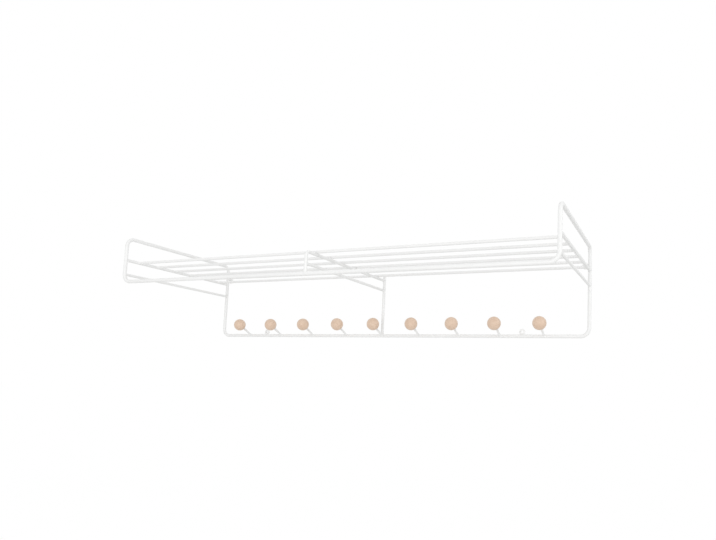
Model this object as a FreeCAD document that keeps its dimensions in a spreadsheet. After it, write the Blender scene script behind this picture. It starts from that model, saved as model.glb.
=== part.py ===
import FreeCAD, Part
import os

# Wall-mounted hat rack of bent and welded steel wire with turned wooden pegs.
# Millimetres. X runs along the wall, the wall is the plane Y = 0 and the rack stands out
# towards -Y, Z is up. The origin lies on the wall, midway between the two lower fixing holes.

doc = FreeCAD.newDocument("hat_rack")
sizes = doc.addObject("Spreadsheet::Sheet", "sizes")

# Driving sizes: lengths in millimetres, the one angle in degrees.
driving_sizes = [
    ("overall_width", "1000", "outside to outside of the two ends"),
    ("overall_depth", "350", "wall to the outside of the front rail"),
    ("overall_height", "202", "underside of the wall rail to the top of the top rails"),
    ("frame_wire", "8", "diameter of the outline wire"),
    ("bend_radius", "18", "centre-line radius of every bend of the outline wire"),
    ("rail_wire", "7", "diameter of the end shelf rails and the middle post"),
    ("bracket_wire", "6.5", "diameter of the middle bracket"),
    ("bracket_bend_radius", "9", "centre-line radius of the bend of the middle bracket"),
    ("lower_wire", "6", "diameter of the three lower rails"),
    ("shelf_wire", "6", "diameter of the shelf wires"),
    ("stem_wire", "5", "diameter of the peg stems"),
    ("weld_sink", "0.3", "depth the shelf wires are pressed on to the bracket"),
    ("front_rail_drop", "102", "front rail below the top rails, centre to centre"),
    ("lower_rail_drop", "84.5", "end lower rails below the top rails"),
    ("middle_lower_drop", "81.5", "middle lower rail below the top rails"),
    ("shelf_drop", "51", "shelf wires and end shelf rails below the top rails"),
    ("middle_post_stand", "9.5", "free end of the middle post above the shelf wires' centres"),
    ("shelf_pitch", "53.5", "shelf wire to shelf wire"),
    ("end_peg_inset", "96", "end pegs in from the centres of the end posts"),
    ("peg_reach", "56", "centre of the wall rail to the centre of a ball"),
    ("peg_angle", "25", "degrees a peg leans up from level"),
    ("ball_diameter", "30", "wooden ball"),
    ("ball_flat", "9", "diameter of the flat turned round the bore of a ball"),
    ("bore_depth", "13", "blind bore of a ball, from its flat"),
    ("glue_gap", "0.1", "gap all round a stem in its bore"),
    ("eyelet_diameter", "14", "outside of a fixing eyelet"),
    ("eyelet_hole", "6", "screw hole of a fixing eyelet"),
    ("eyelet_thickness", "4", "thickness of a fixing eyelet"),
    ("eyelet_sink", "1", "depth an eyelet is let on to the wire it is welded to"),
    ("lower_eyelet_inset", "146", "lower fixing holes in from the centres of the end posts"),
    ("upper_eyelet_rise", "10", "upper fixing holes above the end shelf rails"),
    ("cut_overrun", "2", "how far a cutting tool starts outside the piece"),
]

# Sizes that follow from the driving ones.
derived_sizes = [
    ("post_x", "=(overall_width - frame_wire) / 2", "centre of the end posts"),
    ("wall_y", "=-frame_wire / 2", "centre of the wires that lie on the wall"),
    ("front_y", "=frame_wire / 2 - overall_depth", "centre of the front rail and posts"),
    ("bottom_z", "=eyelet_sink - (frame_wire + eyelet_diameter) / 2", "centre of the wall rail"),
    ("top_z", "=bottom_z + overall_height - frame_wire", "centre of the top rails"),
    ("front_z", "=top_z - front_rail_drop", "centre of the front rail"),
    ("lower_z", "=top_z - lower_rail_drop", "centre of the end lower rails"),
    ("middle_lower_z", "=top_z - middle_lower_drop", "centre of the middle lower rail"),
    ("shelf_z", "=top_z - shelf_drop", "centre of the shelf wires and end shelf rails"),
    ("bracket_z", "=shelf_z - (shelf_wire + bracket_wire) / 2 + weld_sink", "bracket upper rail"),
    ("middle_dome_z", "=shelf_z + middle_post_stand - rail_wire / 2", "centre of the middle post's dome"),
    ("shelf_middle_y", "=(front_y + wall_y) / 2", "middle of the row of shelf wires"),
    ("lower_eyelet_x", "=post_x - lower_eyelet_inset", "lower holes"),
    ("end_peg_x", "=post_x - end_peg_inset", "centres of the end pegs"),
    ("upper_eyelet_x", "=post_x - (frame_wire + eyelet_diameter) / 2 + eyelet_sink", "upper holes"),
    ("flat_offset", "=sqrt(ball_diameter ^ 2 - ball_flat ^ 2) / 2", "ball centre to its flat"),
    ("bore_start", "=peg_reach - flat_offset - cut_overrun", "wall rail to the start of the bore tool"),
    ("stem_length", "=peg_reach - flat_offset + bore_depth", "wall rail to the end of a stem"),
]

row = 0
for alias, text, note in driving_sizes + derived_sizes:
    row = row + 1
    sizes.set("A%d" % row, note)
    sizes.set("B%d" % row, text)
    sizes.setAlias("B%d" % row, alias)
doc.recompute()

ALONG_X = FreeCAD.Rotation(FreeCAD.Vector(0, 1, 0), 90)
ALONG_Y = FreeCAD.Rotation(FreeCAD.Vector(1, 0, 0), -90)
ALONG_Z = FreeCAD.Rotation()
LEFT = FreeCAD.Vector(-1, 0, 0)
RIGHT = FreeCAD.Vector(1, 0, 0)
FORWARD = FreeCAD.Vector(0, -1, 0)
BACK = FreeCAD.Vector(0, 1, 0)
DOWN = FreeCAD.Vector(0, 0, -1)
UP = FreeCAD.Vector(0, 0, 1)

nodes = []


def bind(thing, formulas):
    """Tie properties of a document object to cells of the size sheet."""
    for path, formula in formulas.items():
        thing.setExpression(path, formula)


def place(thing, spot, turn):
    """Turn an object, then tie its three coordinates to the size sheet."""
    thing.Placement = FreeCAD.Placement(FreeCAD.Vector(), turn)
    x, y, z = spot
    bind(thing, {"Placement.Base.x": x, "Placement.Base.y": y, "Placement.Base.z": z})


def rod(name, spot, turn, length, wire):
    """Straight length of round wire that starts at a spot."""
    cylinder = doc.addObject("Part::Cylinder", name)
    bind(cylinder, {"Radius": wire + " / 2", "Height": length})
    place(cylinder, spot, turn)
    return cylinder


def bend(name, centre, start, end, radius, wire):
    """Quarter bend of round wire about a centre, from one direction to the other."""
    torus = doc.addObject("Part::Torus", name)
    bind(torus, {"Radius1": radius, "Radius2": wire + " / 2"})
    torus.Angle3 = 90
    place(torus, centre, FreeCAD.Rotation(start, end, start.cross(end), "XYZ"))
    return torus


def joined(name, pieces):
    """One wire made of its straight lengths and bends."""
    fusion = doc.addObject("Part::MultiFuse", name)
    fusion.Shapes = pieces
    fusion.Refine = True
    return fusion


def coped(name, piece, neighbours):
    """Piece cut to the surface of each neighbour it seats on."""
    for number, neighbour in enumerate(neighbours):
        cut = doc.addObject("Part::Cut", "%s_cope_%d" % (name, number + 1))
        cut.Base = piece
        cut.Tool = neighbour
        piece = cut
    return piece


def keep(name, piece):
    """Name a finished piece as a node of the rack."""
    piece.Label = name
    nodes.append(piece)
    return piece


# Wall frame and front frame: each is one wire bent to a wide U, a rail along the bottom
# with a bend at each end that turns up into a post. The posts end where the top bends start.
def upright_frame(name, y, low):
    foot = low + " + sizes.bend_radius"
    inner_x = "(sizes.post_x - sizes.bend_radius)"
    height = "sizes.top_z - 2 * sizes.bend_radius - " + low
    wire = "sizes.frame_wire"
    rail = rod(name + "_rail", ("-" + inner_x, y, low), ALONG_X, "2 * " + inner_x, wire)
    left_post = rod(name + "_left_post", ("-sizes.post_x", y, foot), ALONG_Z, height, wire)
    right_post = rod(name + "_right_post", ("sizes.post_x", y, foot), ALONG_Z, height, wire)
    left_bend = bend(name + "_left_bend", ("-" + inner_x, y, foot), LEFT, DOWN, "sizes.bend_radius", wire)
    right_bend = bend(name + "_right_bend", (inner_x, y, foot), DOWN, RIGHT, "sizes.bend_radius", wire)
    return keep(name, joined(name, [left_post, left_bend, rail, right_bend, right_post]))


wall_frame = upright_frame("wall_frame", "sizes.wall_y", "sizes.bottom_z")
front_frame = upright_frame("front_frame", "sizes.front_y", "sizes.front_z")

# Ends: the top rail closes the outline from the wall post to the front post with a bend at
# each end. The shelf rail and the lower rail are straight, coped to both posts.
end_rails = {}
for side, x in (("left", "-sizes.post_x"), ("right", "sizes.post_x")):
    name = side + "_top_rail"
    bend_z = "sizes.top_z - sizes.bend_radius"
    front_bend_y = "sizes.front_y + sizes.bend_radius"
    wall_bend_y = "sizes.wall_y - sizes.bend_radius"
    run = "sizes.wall_y - sizes.front_y - 2 * sizes.bend_radius"
    straight = rod(name + "_run", (x, front_bend_y, "sizes.top_z"), ALONG_Y, run, "sizes.frame_wire")
    wall_bend = bend(name + "_wall_bend", (x, wall_bend_y, bend_z), BACK, UP,
                     "sizes.bend_radius", "sizes.frame_wire")
    front_bend = bend(name + "_front_bend", (x, front_bend_y, bend_z), UP, FORWARD,
                      "sizes.bend_radius", "sizes.frame_wire")
    keep(name, joined(name, [wall_bend, straight, front_bend]))
    for level, z, wire in (("shelf", "sizes.shelf_z", "sizes.rail_wire"),
                           ("lower", "sizes.lower_z", "sizes.lower_wire")):
        name = "%s_%s_rail" % (side, level)
        blank = rod(name + "_blank", (x, "sizes.front_y", z), ALONG_Y, "sizes.wall_y - sizes.front_y", wire)
        end_rails[name] = keep(name, coped(name, blank, [front_frame, wall_frame]))

# Middle post: a straight wire that stands on the wall rail, its free upper end rounded over.
middle_blank = rod("middle_post_blank", ("0", "sizes.wall_y", "sizes.bottom_z"), ALONG_Z,
                   "sizes.middle_dome_z - sizes.bottom_z", "sizes.rail_wire")
middle_dome = doc.addObject("Part::Sphere", "middle_post_dome")
bind(middle_dome, {"Radius": "sizes.rail_wire / 2"})
place(middle_dome, ("0", "sizes.wall_y", "sizes.middle_dome_z"), ALONG_Z)
middle_wire = joined("middle_post_wire", [middle_blank, middle_dome])
middle_post = keep("middle_post", coped("middle_post", middle_wire, [wall_frame]))

# Middle bracket: one bent wire, a short leg that stands on the front rail and an upper rail
# that runs back under the shelf wires to the middle post. A lower rail ties leg and post.
leg_top = "sizes.bracket_z - sizes.bracket_bend_radius"
rail_start = "sizes.front_y + sizes.bracket_bend_radius"
bracket_leg = rod("bracket_leg", ("0", "sizes.front_y", "sizes.front_z"), ALONG_Z,
                  leg_top + " - sizes.front_z", "sizes.bracket_wire")
bracket_bend = bend("bracket_bend", ("0", rail_start, leg_top), FORWARD, UP,
                    "sizes.bracket_bend_radius", "sizes.bracket_wire")
bracket_rail = rod("bracket_rail", ("0", rail_start, "sizes.bracket_z"), ALONG_Y,
                   "sizes.wall_y - sizes.front_y - sizes.bracket_bend_radius", "sizes.bracket_wire")
bracket_wire = joined("bracket_wire", [bracket_leg, bracket_bend, bracket_rail])
middle_bracket = keep("middle_bracket", coped("middle_bracket", bracket_wire, [front_frame, middle_post]))
lower_blank = rod("middle_lower_blank", ("0", "sizes.front_y", "sizes.middle_lower_z"), ALONG_Y,
                  "sizes.wall_y - sizes.front_y", "sizes.lower_wire")
keep("middle_lower_rail", coped("middle_lower_rail", lower_blank, [middle_bracket, middle_post]))

# Shelf wires: six straight wires at one pitch, coped to the end shelf rails and pressed a
# little on to the middle bracket where they are welded.
shelf_pitch_shares = (-2.5, -1.5, -0.5, 0.5, 1.5, 2.5)
for number, share in enumerate(shelf_pitch_shares):
    name = "shelf_wire_%d" % (number + 1)
    y = "sizes.shelf_middle_y + %s * sizes.shelf_pitch" % share
    blank = rod(name + "_blank", ("-sizes.post_x", y, "sizes.shelf_z"), ALONG_X,
                "2 * sizes.post_x", "sizes.shelf_wire")
    seats = [end_rails["left_shelf_rail"], end_rails["right_shelf_rail"], middle_bracket]
    keep(name, coped(name, blank, seats))

# Pegs: each stem is coped to the wall rail and leans up and forward. The turned ball has a
# small flat round a blind bore, and the end of the stem rests on the floor of that bore.
tilt = FreeCAD.Rotation(FreeCAD.Vector(1, 0, 0), 90)
forward_share = "cos(sizes.peg_angle)"
upward_share = "sin(sizes.peg_angle)"


def along_peg(x, distance):
    """Coordinates of a point on the axis of a peg, measured from the wall rail."""
    y = "sizes.wall_y - (%s) * %s" % (distance, forward_share)
    z = "sizes.bottom_z + (%s) * %s" % (distance, upward_share)
    return (x, y, z)


peg_shares = (-1, -0.75, -0.5, -0.25, 0, 0.25, 0.5, 0.75, 1)
for number, share in enumerate(peg_shares):
    x = "%s * sizes.end_peg_x" % share
    name = "peg_stem_%d" % (number + 1)
    stem = rod(name + "_blank", along_peg(x, "0"), tilt, "sizes.stem_length", "sizes.stem_wire")
    bind(stem, {"Placement.Rotation.Angle": "90 - sizes.peg_angle"})
    keep(name, coped(name, stem, [wall_frame]))
    name = "peg_ball_%d" % (number + 1)
    ball = doc.addObject("Part::Sphere", name + "_blank")
    bind(ball, {"Radius": "sizes.ball_diameter / 2",
                "Angle1": "-acos(sizes.ball_flat / sizes.ball_diameter)"})
    place(ball, along_peg(x, "sizes.peg_reach"), tilt)
    bind(ball, {"Placement.Rotation.Angle": "90 - sizes.peg_angle"})
    bore = rod(name + "_bore", along_peg(x, "sizes.bore_start"), tilt,
               "sizes.bore_depth + sizes.cut_overrun", "(sizes.stem_wire + 2 * sizes.glue_gap)")
    bind(bore, {"Placement.Rotation.Angle": "90 - sizes.peg_angle"})
    keep(name, coped(name, ball, [bore]))

# Fixing eyelets: flat rings with a round rim and a screw hole, their backs on the wall. Two
# stand on the wall rail, and two sit against the wall posts just above the end shelf rails.
eyelet_spots = (
    ("lower_left", "-sizes.lower_eyelet_x", "0"),
    ("lower_right", "sizes.lower_eyelet_x", "0"),
    ("upper_left", "-sizes.upper_eyelet_x", "sizes.shelf_z + sizes.upper_eyelet_rise"),
    ("upper_right", "sizes.upper_eyelet_x", "sizes.shelf_z + sizes.upper_eyelet_rise"),
)
for spot_name, x, z in eyelet_spots:
    name = spot_name + "_eyelet"
    disc = rod(name + "_disc", (x, "-sizes.eyelet_thickness", z), ALONG_Y, "sizes.eyelet_thickness",
               "(sizes.eyelet_diameter - sizes.eyelet_thickness)")
    rim = doc.addObject("Part::Torus", name + "_rim")
    bind(rim, {"Radius1": "(sizes.eyelet_diameter - sizes.eyelet_thickness) / 2",
               "Radius2": "sizes.eyelet_thickness / 2"})
    place(rim, (x, "-sizes.eyelet_thickness / 2", z), ALONG_Y)
    hole = rod(name + "_hole", (x, "-sizes.eyelet_thickness - sizes.cut_overrun", z), ALONG_Y,
               "sizes.eyelet_thickness + 2 * sizes.cut_overrun", "sizes.eyelet_hole")
    ring = joined(name + "_ring", [disc, rim])
    keep(name, coped(name, ring, [hole, wall_frame]))

doc.recompute()

for thing in doc.Objects:
    if "Invalid" in thing.State or "Error" in thing.State:
        raise RuntimeError("not computed: " + thing.Name)

os.makedirs("parts", exist_ok=True)
for node in nodes:
    shape = node.Shape
    if shape.isNull() or not shape.isValid() or len(shape.Solids) != 1:
        raise RuntimeError("not one sound solid: " + node.Label)
    shape.exportStep("parts/%s.step" % node.Label)
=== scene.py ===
import math

import bpy
import numpy as np
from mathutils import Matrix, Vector


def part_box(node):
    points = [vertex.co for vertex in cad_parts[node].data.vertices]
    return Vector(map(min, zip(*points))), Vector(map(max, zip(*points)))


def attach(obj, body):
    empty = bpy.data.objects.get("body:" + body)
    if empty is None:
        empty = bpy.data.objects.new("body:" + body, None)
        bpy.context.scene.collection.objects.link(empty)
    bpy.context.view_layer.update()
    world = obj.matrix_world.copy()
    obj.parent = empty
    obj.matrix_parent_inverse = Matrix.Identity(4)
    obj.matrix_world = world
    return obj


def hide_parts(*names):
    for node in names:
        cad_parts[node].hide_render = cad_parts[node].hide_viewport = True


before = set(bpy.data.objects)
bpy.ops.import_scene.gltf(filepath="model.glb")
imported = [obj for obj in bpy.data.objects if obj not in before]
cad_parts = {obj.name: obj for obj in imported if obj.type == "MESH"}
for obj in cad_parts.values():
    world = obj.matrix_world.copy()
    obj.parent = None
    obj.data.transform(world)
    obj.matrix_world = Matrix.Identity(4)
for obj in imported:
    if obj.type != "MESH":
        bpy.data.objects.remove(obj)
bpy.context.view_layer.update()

# Outline wire: one length of 8 mm steel wire, bent eight times to one radius and welded end to
# end, so that wall rail, posts, top rails and front rail are a single closed line. It is
# powder coated white after welding, like every other wire of the rack.
wall_low, wall_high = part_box("wall_frame")
front_low, front_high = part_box("front_frame")
top_low, top_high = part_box("right_top_rail")
outline_radius = (wall_high.y - wall_low.y) / 2
wall_y = (wall_low.y + wall_high.y) / 2
front_y = (front_low.y + front_high.y) / 2
post_x = wall_high.x - outline_radius
wall_rail_z = wall_low.z + outline_radius
front_rail_z = front_low.z + outline_radius
top_rail_z = top_high.z - outline_radius
outline_bend = top_rail_z - top_low.z
X_AXIS, Y_AXIS, Z_AXIS = np.eye(3)
AROUND = 32
BEND_STEPS = 24
TURN = np.linspace(0, 2 * math.pi, AROUND, endpoint=False)


def turned(vector, axis, angles):
    """Vector v turned about a unit axis by each angle a:
    v cos a + (axis x v) sin a + axis (axis . v) (1 - cos a)."""
    angles = angles[:, None]
    return (vector * np.cos(angles) + np.cross(axis, vector) * np.sin(angles)
            + axis * np.dot(axis, vector) * (1 - np.cos(angles)))


def rings(centres, across, upward, radius):
    """Rings of a round wire: centre + radius (across cos t + upward sin t), one ring per centre."""
    circles = across[:, None] * np.cos(TURN)[:, None] + upward[:, None] * np.sin(TURN)[:, None]
    return centres[:, None] + radius * circles


def bend_rings(corner, into, out, bend, radius, across, upward):
    """Rings round one bend: the centre line is a quarter circle that touches both runs, and the
    ring's two directions turn with it. Also returns the directions as they leave the bend."""
    angles = np.linspace(0, math.pi / 2, BEND_STEPS)
    middle = corner - into * bend + out * bend
    axis = np.cross(into, out)
    centres = middle + bend * (into * np.sin(angles)[:, None] - out * np.cos(angles)[:, None])
    across_rows = turned(across, axis, angles)
    upward_rows = turned(upward, axis, angles)
    return rings(centres, across_rows, upward_rows, radius), across_rows[-1], upward_rows[-1]


def grid_quads(index):
    """Quads between neighbouring rows of a grid of vertex numbers, each row closed on itself."""
    lower, upper = index[:-1], index[1:]
    corners = [lower, np.roll(lower, -1, axis=1), np.roll(upper, -1, axis=1), upper]
    return np.stack(corners, axis=-1).reshape(-1, 4)


def piece_from(name, points, faces, finish, marks=None, sharp=None):
    """New smooth-shaded piece that rides on the rack, with named values or vectors on its points."""
    mesh = bpy.data.meshes.new(name)
    mesh.from_pydata(points.tolist(), [], faces)
    mesh.polygons.foreach_set("use_smooth", np.ones(len(mesh.polygons), bool))
    for label, values in (marks or {}).items():
        kind, field = ("FLOAT", "value") if values.ndim == 1 else ("FLOAT_VECTOR", "vector")
        mark = mesh.attributes.new(label, kind, "POINT")
        mark.data.foreach_set(field, values.ravel().astype(np.float32))
    if sharp:
        mesh.set_sharp_from_angle(angle=math.radians(sharp))
    mesh.materials.append(finish)
    piece = bpy.data.objects.new(name, mesh)
    bpy.context.scene.collection.objects.link(piece)
    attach(piece, "root")
    return piece


class Reading:
    """A value in a material's node tree. Arithmetic on readings adds Math nodes."""

    def __init__(self, tree, socket=None):
        self.tree = tree
        self.socket = socket

    def node(self, kind, settings, inputs, output=0):
        """Any other node: its settings are set first, then its sockets get values or links."""
        made = self.tree.nodes.new(kind)
        for setting, value in settings.items():
            if setting == "stops":
                ramp = made.color_ramp.elements
                while len(ramp) < len(value):
                    ramp.new(1.0)
                for stop, (place, colour) in zip(ramp, value):
                    stop.position = place
                    stop.color = (*colour, 1.0)
            else:
                setattr(made, setting, value)
        for name, value in inputs.items():
            if isinstance(value, Reading):
                self.tree.links.new(value.socket, made.inputs[name])
            else:
                made.inputs[name].default_value = value
        return Reading(self.tree, made.outputs[output])

    def noise(self, spot, scale, detail, roughness):
        """Noise from 0 to 1 at a place, its grains about 1 / scale of a metre across."""
        inputs = {"Vector": spot, "Scale": scale, "Detail": detail, "Roughness": roughness}
        return self.node("ShaderNodeTexNoise", {}, inputs)

    def mixed(self, share, colour, other):
        """One colour turned into another by a share from 0 to 1."""
        return self.node("ShaderNodeMix", {"data_type": "RGBA"}, {0: share, 6: colour, 7: other}, 2)

    def math(self, operation, *others):
        """One Math node, with this reading as its first value."""
        return self.node("ShaderNodeMath", {"operation": operation}, dict(enumerate((self, *others))))

    def __add__(self, other):
        return self.math("ADD", other)

    def __sub__(self, other):
        return self.math("SUBTRACT", other)

    def __rsub__(self, other):
        return self.node("ShaderNodeMath", {"operation": "SUBTRACT"}, {0: other, 1: self})

    def __mul__(self, other):
        return self.math("MULTIPLY", other)

    def __truediv__(self, other):
        return self.math("DIVIDE", other)

    def __pow__(self, other):
        return self.math("POWER", other)

    __radd__ = __add__
    __rmul__ = __mul__


def new_finish(name):
    """Empty material with its Principled shader, and a reading to start its node tree from."""
    material = bpy.data.materials.new(name)
    material.use_nodes = True
    return material, material.node_tree.nodes["Principled BSDF"], Reading(material.node_tree)


def feed(shader, socket, reading):
    """Links a reading to one socket of a shader."""
    reading.tree.links.new(reading.socket, shader.inputs[socket])


# The coat is a baked polyester powder: satin, a little uneven in tone, with a fine orange peel,
# a softer film over the welds and the faintest dust on what faces up.
powder_coat, coat_shader, start = new_finish("white_powder_coat")
spot = start.node("ShaderNodeTexCoord", {}, {}, "Object")
facing = start.node("ShaderNodeNewGeometry", {}, {}, "Normal")
facing_up = start.node("ShaderNodeSeparateXYZ", {}, {"Vector": facing}, "Z").math("MAXIMUM", 0.0)
weld = start.node("ShaderNodeAttribute", {"attribute_name": "weld"}, {}, "Fac")
cloudy = start.noise(spot, scale=9.0, detail=3.0, roughness=0.5)
peel = start.noise(spot, scale=620.0, detail=2.0, roughness=0.55)
grit = start.noise(spot, scale=2600.0, detail=1.0, roughness=0.6)
lump = start.noise(spot, scale=310.0, detail=2.0, roughness=0.6)
COAT_TONES = [(0.3, (0.850, 0.848, 0.840)), (0.7, (0.884, 0.882, 0.875))]
CLOUD_IN_TONE, GRIT_IN_TONE = 0.85, 0.15
tone_place = cloudy * CLOUD_IN_TONE + grit * GRIT_IN_TONE
clean = start.node("ShaderNodeValToRGB", {"stops": COAT_TONES}, {"Fac": tone_place})
DUST = (0.80, 0.785, 0.755, 1.0)
CLOUD_IN_DUST, GRIT_IN_DUST = 0.30, 0.20
DUST_COVER = 0.35
dust = facing_up * (cloudy * CLOUD_IN_DUST + grit * GRIT_IN_DUST)
feed(coat_shader, "Base Color", start.mixed(dust * DUST_COVER, clean, DUST))
COAT_ROUGHNESS, PEEL_DULLS, DUST_DULLS, WELD_DULLS = 0.36, 0.10, 0.25, 0.10
coat_roughness = COAT_ROUGHNESS + peel * PEEL_DULLS + dust * DUST_DULLS + weld * WELD_DULLS
feed(coat_shader, "Roughness", coat_roughness)
PEEL_HEIGHT, GRIT_HEIGHT, LUMP_HEIGHT = 0.6, 0.15, 5.0
coat_height = peel * PEEL_HEIGHT + grit * GRIT_HEIGHT + weld * lump * LUMP_HEIGHT
coat_bump = {"Height": coat_height, "Strength": 0.30, "Distance": 0.00006}
feed(coat_shader, "Normal", start.node("ShaderNodeBump", {}, coat_bump))
coat_shader.inputs["Specular IOR Level"].default_value = 0.45

outline_corners = np.array([
    (post_x, wall_y, wall_rail_z), (post_x, wall_y, top_rail_z),
    (post_x, front_y, top_rail_z), (post_x, front_y, front_rail_z),
    (-post_x, front_y, front_rail_z), (-post_x, front_y, top_rail_z),
    (-post_x, wall_y, top_rail_z), (-post_x, wall_y, wall_rail_z),
])
runs = np.roll(outline_corners, -1, axis=0) - outline_corners
runs = runs / np.linalg.norm(runs, axis=1, keepdims=True)
across, upward = Y_AXIS, Z_AXIS
outline_rows = []
for corner, into, out in zip(outline_corners, np.roll(runs, 1, axis=0), runs):
    rows, across, upward = bend_rings(corner, into, out, outline_bend, outline_radius, across, upward)
    outline_rows.append(rows)
outline_rows = np.concatenate(outline_rows)
outline_index = np.arange(len(outline_rows) * AROUND).reshape(-1, AROUND)
# the bends turn the rings by quarter turns, so the closing row starts where the last ring does
last_ring = outline_rows[-1, 0] - outline_rows[-1].mean(axis=0)
first_ring = outline_rows[0] - outline_rows[0].mean(axis=0)
quarter_turn = int(np.argmin(np.linalg.norm(first_ring - last_ring, axis=1)))
outline_index = np.concatenate([outline_index, np.roll(outline_index[:1], -quarter_turn, axis=1)])
outline = piece_from("outline_wire", outline_rows.reshape(-1, 3), grid_quads(outline_index).tolist(),
                     powder_coat)
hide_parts("wall_frame", "front_frame", "left_top_rail", "right_top_rail")

# End rails: straight wires between a front post and a wall post, cut to the curve of the posts
# and welded all round. The shelf rail carries the shelf wires, the lower rail stiffens the end.
WELD_SIZE = 0.0012
WELD_WANDER = 0.15
LONG_WAVES, SHORT_WAVES, SHORT_WAVE_SHARE = 3, 8, 0.5
PHASE_PER_METRE = 300.0
FOOT_TUCK = 0.986
FOOT_DEPTH_SHARE = 0.96
SEAT_EDGE_SHARE = 0.985
FILLET_STEPS = 8
# how far each ring is weld metal: wholly at the foot, fading as 1 - t^3 up the fillet
FILLET_WELD = np.concatenate([[1.0], 1 - np.linspace(0, 1, FILLET_STEPS) ** 3])


def seat_rows(seat, away, seat_axis, across, upward, radius, seat_radius):
    """Rings of a wire that stands on a round wire: a foot inside it, then a weld fillet.

    A point at sideways offset s on the seat lies sqrt(R^2 - s^2) from the seat's centre line. The
    fillet is a quadratic curve from the widened foot, by the bare corner, to the wire's side. Its
    size wanders round the wire as two sines, from a phase that the seat's place gives. The foot is
    tucked a little under the seat's surface, so that the weld's edge is clean."""
    outward = across * np.cos(TURN)[:, None] + upward * np.sin(TURN)[:, None]
    sideways = np.cross(away, seat_axis)
    offset, along = outward @ sideways, outward @ seat_axis
    phase = PHASE_PER_METRE * seat.sum()
    wander = np.sin(LONG_WAVES * TURN + phase) + SHORT_WAVE_SHARE * np.sin(SHORT_WAVES * TURN - phase)
    bead = WELD_SIZE * (1 + WELD_WANDER * wander)

    def on_seat(reach):
        """Points of the seat's surface at one reach from the wire's centre line."""
        edge = SEAT_EDGE_SHARE * seat_radius
        side = np.clip(reach * offset, -edge, edge)
        depth = np.sqrt(seat_radius ** 2 - side ** 2)
        return side[:, None] * sideways + (reach * along)[:, None] * seat_axis + depth[:, None] * away

    foot = FOOT_TUCK * on_seat(radius + bead)
    corner = on_seat(radius)
    side = corner + bead[:, None] * away
    t = np.linspace(0, 1, FILLET_STEPS)[:, None, None]
    fillet = (1 - t) ** 2 * foot + 2 * t * (1 - t) * corner + t ** 2 * side
    return seat + np.concatenate([FOOT_DEPTH_SHARE * foot[None], fillet])


def capped(rows):
    """Points and faces of a surface over rows of rings, each end ring closed on its middle."""
    around = rows.shape[1]
    points = rows.reshape(-1, 3)
    index = np.arange(len(points)).reshape(-1, around)
    poles = np.stack([rows[0].mean(axis=0), rows[-1].mean(axis=0)])
    first = np.stack([np.full(around, len(points)), np.roll(index[0], -1), index[0]], axis=1)
    last = np.stack([np.full(around, len(points) + 1), index[-1], np.roll(index[-1], -1)], axis=1)
    faces = grid_quads(index).tolist() + first.tolist() + last.tolist()
    return np.concatenate([points, poles]), faces


def welded_wire(node, rows, weld_rows):
    """Coated wire over rows of rings in place of a node, with how far each row is weld metal."""
    points, faces = capped(rows)
    welds = np.concatenate([np.repeat(weld_rows, AROUND), weld_rows[[0, -1]]])
    wire = piece_from(node + "_wire", points, faces, powder_coat, {"weld": welds})
    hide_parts(node)


def straight_wire(node, start_rows, end_rows):
    """Wire welded at both ends, each end given from its seat inwards."""
    welded_wire(node, np.concatenate([start_rows, end_rows[::-1]]),
                np.concatenate([FILLET_WELD, FILLET_WELD[::-1]]))


for side in ("left", "right"):
    for level in ("shelf", "lower"):
        node = "%s_%s_rail" % (side, level)
        low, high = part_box(node)
        radius = (high.z - low.z) / 2
        x, z = (low.x + high.x) / 2, (low.z + high.z) / 2
        front_seat, wall_seat = np.array((x, front_y, z)), np.array((x, wall_y, z))
        front_rows = seat_rows(front_seat, Y_AXIS, Z_AXIS, Z_AXIS, X_AXIS, radius, outline_radius)
        wall_rows = seat_rows(wall_seat, -Y_AXIS, Z_AXIS, Z_AXIS, X_AXIS, radius, outline_radius)
        straight_wire(node, front_rows, wall_rows)

# Middle post: a wire that stands on the wall rail, welded at its foot. Its free end is ground
# round, so that a hat or a sleeve slides off it.
post_low, post_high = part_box("middle_post")
post_radius = (post_high.x - post_low.x) / 2
post_foot = np.array((0.0, wall_y, wall_rail_z))
foot_rows = seat_rows(post_foot, Z_AXIS, X_AXIS, X_AXIS, Y_AXIS, post_radius, outline_radius)
# dome: a half sphere, each ring at height r sin a with the radius r cos a
DOME_END = math.radians(88)
DOME_STEPS = 12
dome_angle = np.linspace(0, DOME_END, DOME_STEPS)
dome_middle = np.array((0.0, wall_y, post_high.z - post_radius))
dome_circle = X_AXIS * np.cos(TURN)[:, None] + Y_AXIS * np.sin(TURN)[:, None]
dome_rows = dome_middle + post_radius * (np.cos(dome_angle)[:, None, None] * dome_circle
                                         + np.sin(dome_angle)[:, None, None] * Z_AXIS)
welded_wire("middle_post", np.concatenate([foot_rows, dome_rows]),
            np.concatenate([FILLET_WELD, np.zeros(len(dome_rows))]))

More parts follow.
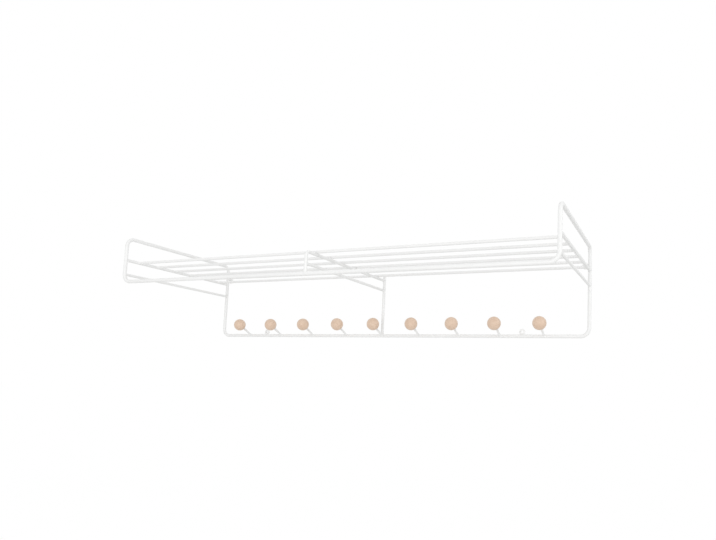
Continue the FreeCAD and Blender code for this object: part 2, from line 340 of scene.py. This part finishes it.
# Middle bracket: a wire bent once, its leg welded on the front rail and its upper rail run back
# under the shelf wires to the middle post. A straight lower rail ties the leg to the post.
bracket_low, bracket_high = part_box("middle_bracket")
bracket_radius = (bracket_high.x - bracket_low.x) / 2
bracket_z = bracket_high.z - bracket_radius
BRACKET_BEND = 0.009
leg_foot = np.array((0.0, front_y, front_rail_z))
leg_top = np.array((0.0, front_y, bracket_z))
rail_end = np.array((0.0, wall_y, bracket_z))
leg_rows = seat_rows(leg_foot, Z_AXIS, X_AXIS, X_AXIS, Y_AXIS, bracket_radius, outline_radius)
turn_rows, across, upward = bend_rings(leg_top, Z_AXIS, Y_AXIS, BRACKET_BEND, bracket_radius,
                                       X_AXIS, Y_AXIS)
end_rows = seat_rows(rail_end, -Y_AXIS, Z_AXIS, across, upward, bracket_radius, post_radius)
welded_wire("middle_bracket", np.concatenate([leg_rows, turn_rows, end_rows[::-1]]),
            np.concatenate([FILLET_WELD, np.zeros(len(turn_rows)), FILLET_WELD[::-1]]))

tie_low, tie_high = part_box("middle_lower_rail")
tie_radius = (tie_high.x - tie_low.x) / 2
tie_z = (tie_low.z + tie_high.z) / 2
tie_front, tie_wall = np.array((0.0, front_y, tie_z)), np.array((0.0, wall_y, tie_z))
straight_wire("middle_lower_rail",
              seat_rows(tie_front, Y_AXIS, Z_AXIS, Z_AXIS, X_AXIS, tie_radius, bracket_radius),
              seat_rows(tie_wall, -Y_AXIS, Z_AXIS, Z_AXIS, X_AXIS, tie_radius, post_radius))

# Shelf wires: six thin straight wires, welded end on to the shelf rails and spot welded where
# they cross the bracket. Each spot weld is a small cushion of metal squeezed out at the crossing.
shelf_rail_low, shelf_rail_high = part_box("right_shelf_rail")
shelf_rail_radius = (shelf_rail_high.z - shelf_rail_low.z) / 2
SHELF_WIRES = 6
SPOT_WELD_HALF = (0.0023, 0.0023, 0.0010)
CUSHION_END = math.radians(87)
CUSHION_STEPS = 15


def weld_cushion(name, middle, half):
    """Cushion of weld metal: an ellipsoid, middle + half (cos r cos t, cos r sin t, sin r)."""
    rise = np.linspace(-CUSHION_END, CUSHION_END, CUSHION_STEPS)[:, None]
    level = np.ones(AROUND)
    rows = middle + half * np.stack([np.cos(rise) * np.cos(TURN), np.cos(rise) * np.sin(TURN),
                                     np.sin(rise) * level], axis=-1)
    points, faces = capped(rows)
    piece_from(name, points, faces, powder_coat, {"weld": np.ones(len(points))})


for number in range(1, SHELF_WIRES + 1):
    node = "shelf_wire_%d" % number
    low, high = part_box(node)
    radius = (high.y - low.y) / 2
    y, z = (low.y + high.y) / 2, high.z - radius
    left_end, right_end = np.array((-post_x, y, z)), np.array((post_x, y, z))
    left_rows = seat_rows(left_end, X_AXIS, Y_AXIS, Y_AXIS, Z_AXIS, radius, shelf_rail_radius)
    right_rows = seat_rows(right_end, -X_AXIS, Y_AXIS, Y_AXIS, Z_AXIS, radius, shelf_rail_radius)
    straight_wire(node, left_rows, right_rows)
    weld_cushion("spot_weld_%d" % number, np.array((0.0, y, z - radius)), SPOT_WELD_HALF)

# Pegs: a short stem of thin wire welded to the wall rail, leaning forward and up, and on it a
# turned ball of pale beech, bored, glued and oiled. Every ball comes from its own piece of wood.
beech, beech_shader, start = new_finish("turned_beech")
grain = start.node("ShaderNodeAttribute", {"attribute_name": "grain"}, {}, "Vector")
across_grain = start.node("ShaderNodeSeparateXYZ", {}, {"Vector": grain}, "X")
beside_grain = start.node("ShaderNodeSeparateXYZ", {}, {"Vector": grain}, "Y")
RING_WIDTH, RING_WANDER = 0.0026, 0.0022
LATE_WOOD_RISE, LATE_WOOD_FALL = 3.0, 14.0
bent = start.noise(grain, scale=55.0, detail=2.0, roughness=0.5)
pith = (across_grain ** 2.0 + beside_grain ** 2.0) ** 0.5
ring = ((pith + bent * RING_WANDER) / RING_WIDTH).math("FRACT")
late_wood = ring ** LATE_WOOD_RISE * (1.0 - ring ** LATE_WOOD_FALL)
FIBRE_SHAPE, FLECK_SHAPE = (1.0, 1.0, 0.09), (0.35, 1.0, 0.16)
fibre_spot = start.node("ShaderNodeMapping", {}, {"Vector": grain, "Scale": FIBRE_SHAPE})
fibre = start.noise(fibre_spot, scale=1500.0, detail=3.0, roughness=0.6)
fleck_spot = start.node("ShaderNodeMapping", {}, {"Vector": grain, "Scale": FLECK_SHAPE})
fleck = start.noise(fleck_spot, scale=900.0, detail=1.0, roughness=0.4)
FLECK_STARTS, FLECK_FULL = 0.60, 0.72
fleck_range = {0: fleck, 1: FLECK_STARTS, 2: FLECK_FULL, 3: 0.0, 4: 1.0}
fleck_mask = start.node("ShaderNodeMapRange", {}, fleck_range)
patch = start.noise(grain, scale=95.0, detail=3.0, roughness=0.6)
PATCH_IN_TONE, FIBRE_IN_TONE, RING_IN_TONE = 0.55, 0.25, 0.30
mellow = patch * PATCH_IN_TONE + fibre * FIBRE_IN_TONE + late_wood * RING_IN_TONE
BEECH_TONES = [(0.25, (0.775, 0.60, 0.468)), (0.55, (0.705, 0.522, 0.392)),
               (0.9, (0.585, 0.408, 0.285))]
BEECH_FLECK = (0.50, 0.33, 0.21, 1.0)
FLECK_COVER = 0.45
wood_tone = start.node("ShaderNodeValToRGB", {"stops": BEECH_TONES}, {"Fac": mellow})
feed(beech_shader, "Base Color", start.mixed(fleck_mask * FLECK_COVER, wood_tone, BEECH_FLECK))
BEECH_ROUGHNESS, FIBRE_DULLS, RING_SHINES = 0.46, 0.14, 0.06
feed(beech_shader, "Roughness", BEECH_ROUGHNESS + fibre * FIBRE_DULLS - late_wood * RING_SHINES)
FIBRE_HEIGHT, RING_HEIGHT, FLECK_DEPTH = 0.5, 0.3, 0.5
beech_height = fibre * FIBRE_HEIGHT + late_wood * RING_HEIGHT - fleck_mask * FLECK_DEPTH
beech_bump = {"Height": beech_height, "Strength": 0.35, "Distance": 0.00008}
feed(beech_shader, "Normal", start.node("ShaderNodeBump", {}, beech_bump))
beech_shader.inputs["Specular IOR Level"].default_value = 0.4
# the thin film of clear oil
beech_shader.inputs["Coat Weight"].default_value = 0.3
beech_shader.inputs["Coat Roughness"].default_value = 0.3

PEGS = 9
FLAT_RADIUS = 0.0045
BORE_RADIUS, BORE_DEPTH = 0.0026, 0.006
BORE_LIP, LIP_STEPS = 0.0004, 6
BORE_POLE_SHARE = 0.1
BALL_POLE = math.radians(0.7)
BALL_AROUND, BALL_STEPS = 72, 64
BALL_SHARP = 40
BALL_TURN = np.linspace(0, 2 * math.pi, BALL_AROUND, endpoint=False)[:, None]
STEM_TIP_SHARE = 0.6
NEAR_PITH, FAR_PITH = (0.035, -0.03, 0.0), (0.08, 0.03, 2.0)
WOOD_SEED = 41
ball_luck = np.random.default_rng(WOOD_SEED)
for number in range(1, PEGS + 1):
    stem_low, stem_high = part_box("peg_stem_%d" % number)
    ball_low, ball_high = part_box("peg_ball_%d" % number)
    stem_radius = (stem_high.x - stem_low.x) / 2
    ball_radius = (ball_high.x - ball_low.x) / 2
    x = (ball_low.x + ball_high.x) / 2
    ball_centre = np.array((x, ball_low.y + ball_radius, ball_high.z - ball_radius))
    root = np.array((x, wall_y, wall_rail_z))
    reach = np.linalg.norm(ball_centre - root)
    lean = (ball_centre - root) / reach
    above = np.cross(lean, X_AXIS)
    stem_foot = seat_rows(root, lean, X_AXIS, X_AXIS, above, stem_radius, outline_radius)
    # the stem ends inside the ball, short of its centre
    stem_tip = root + (reach - STEM_TIP_SHARE * ball_radius) * lean
    stem_end = rings(stem_tip[None], X_AXIS[None], above[None], stem_radius)
    welded_wire("peg_stem_%d" % number, np.concatenate([stem_foot, stem_end]),
                np.concatenate([FILLET_WELD, [0.0]]))

    # ball: a profile turned about the stem's line, from the bore's floor, over its rounded lip
    # and the flat, round the sphere to the front pole; (radius, distance from the ball's centre)
    flat = math.sqrt(ball_radius ** 2 - FLAT_RADIUS ** 2)
    lip_turn = np.linspace(0, math.pi / 2, LIP_STEPS)
    sweep = np.linspace(math.acos(-flat / ball_radius), BALL_POLE, BALL_STEPS)
    profile = np.concatenate([
        [(BORE_POLE_SHARE * BORE_RADIUS, BORE_DEPTH - flat), (BORE_RADIUS, BORE_DEPTH - flat)],
        np.stack([BORE_RADIUS + BORE_LIP * (1 - np.cos(lip_turn)),
                  BORE_LIP * (1 - np.sin(lip_turn)) - flat], axis=1),
        np.stack([ball_radius * np.sin(sweep), ball_radius * np.cos(sweep)], axis=1),
    ])
    around_stem = X_AXIS * np.cos(BALL_TURN) + above * np.sin(BALL_TURN)
    ball_rows = ball_centre + profile[:, None, :1] * around_stem + profile[:, None, 1:] * lean
    points, faces = capped(ball_rows)
    # grain: the wood runs along the stem, turned by chance about it and cut at some way from the pith
    spin = ball_luck.uniform(0, 2 * math.pi)
    from_pith = ball_luck.uniform(NEAR_PITH, FAR_PITH)
    grain_axes = np.stack([X_AXIS * math.cos(spin) - above * math.sin(spin),
                           X_AXIS * math.sin(spin) + above * math.cos(spin), lean])
    grain_spots = (points - ball_centre) @ grain_axes.T + from_pith
    ball = piece_from("peg_ball_%d_beech" % number, points, faces, beech,
                      {"grain": grain_spots}, sharp=BALL_SHARP)
    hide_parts("peg_ball_%d" % number)

# Fixing eyelets: small flat rings with a rounded rim, welded to the wall rail and to the wall
# posts with their backs on the wall. A wall screw goes through each.
EYELET_RADIUS, HOLE_RADIUS, EYELET_HALF = 0.007, 0.003, 0.002
EYELET_EDGE = 0.0005
EYELET_AROUND, RIM_STEPS, EDGE_STEPS = 64, 17, 5
EYELET_SHARP = 50
EYELET_TURN = np.linspace(0, 2 * math.pi, EYELET_AROUND, endpoint=False)[:, None]
# the weld bead's half sizes: along the wire, from front to back, and towards the wire
EYELET_WELD_LENGTH, EYELET_WELD_DEPTH, EYELET_WELD_HEIGHT = 0.0041, 0.0017, 0.0011
# section: half circle of the rim, then the hole's wall between two rounded edges; (radius, thickness)
rim_turn = np.linspace(-math.pi / 2, math.pi / 2, RIM_STEPS)
edge_turn = np.linspace(0, math.pi / 2, EDGE_STEPS)
rim = np.stack([EYELET_RADIUS - EYELET_HALF * (1 - np.cos(rim_turn)),
                EYELET_HALF * np.sin(rim_turn)], axis=1)
back_edge = np.stack([HOLE_RADIUS + EYELET_EDGE * (1 - np.sin(edge_turn)),
                      EYELET_HALF - EYELET_EDGE * (1 - np.cos(edge_turn))], axis=1)
section = np.concatenate([rim, back_edge, back_edge[::-1] * (1, -1)])
eyelet_circle = X_AXIS * np.cos(EYELET_TURN) + Z_AXIS * np.sin(EYELET_TURN)
# each eyelet with the way from its hole to the wire that carries it
for place, to_wire in (("lower_left", -Z_AXIS), ("lower_right", -Z_AXIS), ("upper_left", -X_AXIS),
                       ("upper_right", X_AXIS)):
    node = place + "_eyelet"
    low, high = (np.array(corner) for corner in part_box(node))
    # the side that meets the wire is cut to it, so the middle is measured from the far side
    far_side = np.where(to_wire > 0, low, high)
    middle = np.where(to_wire == 0, (low + high) / 2, far_side + to_wire * EYELET_RADIUS)
    ring_rows = middle + section[:, None, :1] * eyelet_circle + section[:, None, 1:] * Y_AXIS
    index = np.arange(ring_rows.shape[0] * ring_rows.shape[1]).reshape(ring_rows.shape[:2])
    faces = grid_quads(np.concatenate([index, index[:1]]))[:, ::-1]
    eyelet = piece_from(node + "_ring", ring_rows.reshape(-1, 3), faces.tolist(), powder_coat,
                        sharp=EYELET_SHARP)
    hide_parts(node)
    # the bead fills the corner between ring and wire, its middle half a height inside the rim and
    # a third of its depth in front of the ring's middle
    along_wire = np.abs(np.cross(to_wire, Y_AXIS))
    weld_half = (along_wire * EYELET_WELD_LENGTH + Y_AXIS * EYELET_WELD_DEPTH
                 + np.abs(to_wire) * EYELET_WELD_HEIGHT)
    weld_inset = EYELET_RADIUS - EYELET_WELD_HEIGHT / 2
    weld_middle = middle + to_wire * weld_inset - Y_AXIS * EYELET_WELD_DEPTH / 3
    weld_cushion(place + "_eyelet_weld", weld_middle, weld_half)

# Studio: a pale floor, as far below the rack as the floor of a hall, a white surround that lights
# the rack softly from all round, and two soft boxes, one in front and one high on the right.
FLOOR_Z, FLOOR_HALF = -1.7, 60.0
floor_corners = [(-FLOOR_HALF, -FLOOR_HALF, FLOOR_Z), (FLOOR_HALF, -FLOOR_HALF, FLOOR_Z),
                 (FLOOR_HALF, FLOOR_HALF, FLOOR_Z), (-FLOOR_HALF, FLOOR_HALF, FLOOR_Z)]
floor_mesh = bpy.data.meshes.new("studio_floor")
floor_mesh.from_pydata(floor_corners, [], [(0, 1, 2, 3)])
floor = bpy.data.objects.new("studio_floor", floor_mesh)
bpy.context.scene.collection.objects.link(floor)
floor_paint, floor_shader, start = new_finish("studio_floor_paint")


def sees_white(start):
    """1 for the rays that show the background: straight to the camera, or by a gloss or through."""
    rays = start.node("ShaderNodeLightPath", {}, {}).socket.node.outputs
    shown = (Reading(start.tree, rays["Is Camera Ray"]) + Reading(start.tree, rays["Is Glossy Ray"])
             + Reading(start.tree, rays["Is Transmission Ray"]))
    return shown.math("MINIMUM", 1.0)


WHITE = (1.0, 1.0, 1.0, 1.0)
FLOOR_TONES = [(0.0, (0.84, 0.84, 0.83)), (1.0, (0.87, 0.87, 0.86))]
FLOOR_GLOW, FLOOR_GLOW_SHARE = 1.03, 0.9
floor_spot = start.node("ShaderNodeTexCoord", {}, {}, "Object")
floor_cloud = start.noise(floor_spot, scale=1.5, detail=2.0, roughness=0.5)
floor_tone = start.node("ShaderNodeValToRGB", {"stops": FLOOR_TONES}, {"Fac": floor_cloud})
feed(floor_shader, "Base Color", floor_tone)
floor_shader.inputs["Roughness"].default_value = 0.8
paint = Reading(start.tree, floor_shader.outputs[0])
glow = start.node("ShaderNodeEmission", {}, {"Color": WHITE, "Strength": FLOOR_GLOW})
glow_share = sees_white(start) * FLOOR_GLOW_SHARE
shown = start.node("ShaderNodeMixShader", {}, {0: glow_share, 1: paint, 2: glow})
feed(floor_paint.node_tree.nodes["Material Output"], "Surface", shown)
floor_mesh.materials.append(floor_paint)

world = bpy.data.worlds.new("studio_surround")
bpy.context.scene.world = world
world.use_nodes = True
start = Reading(world.node_tree)
SURROUND_TINT, SURROUND_LIGHT = (0.985, 0.99, 1.0, 1.0), 0.83
surround_light = {"Color": SURROUND_TINT, "Strength": SURROUND_LIGHT}
soft_light = start.node("ShaderNodeBackground", {}, surround_light)
white = start.node("ShaderNodeBackground", {}, {"Color": WHITE, "Strength": 1.0})
surround = start.node("ShaderNodeMixShader", {}, {0: sees_white(start), 1: soft_light, 2: white})
feed(world.node_tree.nodes["World Output"], "Surface", surround)

# each soft box with its place, its width and its power in watts
SOFT_BOXES = (("front_box", (0.35, -2.6, -0.2), 1.6, 15.5),
              ("right_box", (2.4, -0.7, 0.8), 1.4, 9.0))
LIGHT_AIM = Vector((0.0, -0.2, 0.1))
for name, place, width, power in SOFT_BOXES:
    lamp = bpy.data.lights.new(name, "AREA")
    lamp.size = width
    lamp.energy = power
    light = bpy.data.objects.new(name, lamp)
    light.location = place
    light.rotation_euler = (LIGHT_AIM - Vector(place)).to_track_quat("-Z", "Y").to_euler()
    bpy.context.scene.collection.objects.link(light)

# Camera: a little below the rack and to its right, looking up and across at it. The shift is the
# off-centre framing, and the turn is in degrees.
CAMERA_TURN = (95.621, -2.257, 23.821)
lens = bpy.data.cameras.new("camera")
lens.lens = 30.499
lens.sensor_width = 36.0
lens.shift_x = -0.0818
lens.shift_y = 0.0786
camera = bpy.data.objects.new("camera", lens)
camera.location = (0.6843, -1.3317, -0.1296)
camera.rotation_euler = [math.radians(angle) for angle in CAMERA_TURN]
bpy.context.scene.collection.objects.link(camera)
bpy.context.scene.camera = camera
bpy.context.scene.view_settings.view_transform = "Standard"
